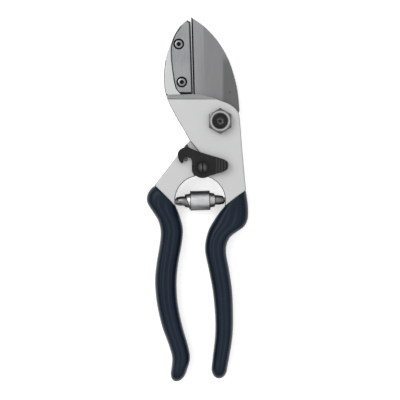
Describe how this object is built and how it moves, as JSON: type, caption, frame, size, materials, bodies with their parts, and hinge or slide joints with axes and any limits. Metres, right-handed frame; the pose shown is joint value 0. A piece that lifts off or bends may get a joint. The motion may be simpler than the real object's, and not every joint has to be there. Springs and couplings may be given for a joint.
{
  "type": "pruning shears",
  "caption": "Closed anvil pruning shears with a steel blade, aluminium handles, dipped grips, a volute spring between the arms and a hook catch.",
  "frame": {"origin": "pivot axis of the shears at the rear face of the pivot bolt's head, which is also the surface that the shears lie on", "axes": "+Y from the pivot to the jaw tips, +X to the right with the catch side facing the reader, +Z along the pivot axis from the rest surface to the nut side"},
  "size_m": [0.0594, 0.213, 0.0186],
  "materials": {
    "forged_aluminium": "satin, fine blasted and tumbled",
    "grip_vinyl": "semi-gloss dipped vinyl, navy",
    "anvil_steel": "satin ground",
    "blade_steel": "ground lengthwise",
    "bright_steel": "bright zinc",
    "black_steel": "black oxide",
    "bronze": "sintered bronze",
    "spring_steel": "bright rolled strip"
  },
  "bodies": {
    "anvil_arm": {"anvil_arm_casting": "forged_aluminium", "anvil_grip": "grip_vinyl", "anvil_plate": "anvil_steel", "anvil_screws": "bright_steel", "pivot_bolt": "black_steel", "pivot_nut": "bright_steel", "thrust_washer": "bright_steel", "head_washer": "bright_steel", "catch_screw": "black_steel", "catch_washer": "black_steel", "volute_spring": "spring_steel"},
    "blade_arm": {"blade_arm_casting": "forged_aluminium", "blade_grip": "grip_vinyl", "blade": "blade_steel", "blade_rivets": "bright_steel", "pivot_bush": "bronze", "catch_peg": "black_steel"},
    "catch": {"catch_lever": "black_steel"}
  },
  "joints": [
    {"name": "arm_pivot", "type": "hinge", "parent": "anvil_arm", "child": "blade_arm", "pos_m": [0, 0, 0.0074], "axis": [0, 0, -1], "range_deg": [0, 25], "deforming": ["volute_spring"]},
    {"name": "catch_pivot", "type": "hinge", "parent": "anvil_arm", "child": "catch", "pos_m": [-0.0101, -0.027, 0.016], "axis": [0, 0, -1], "range_deg": [0, 35]}
  ]
}
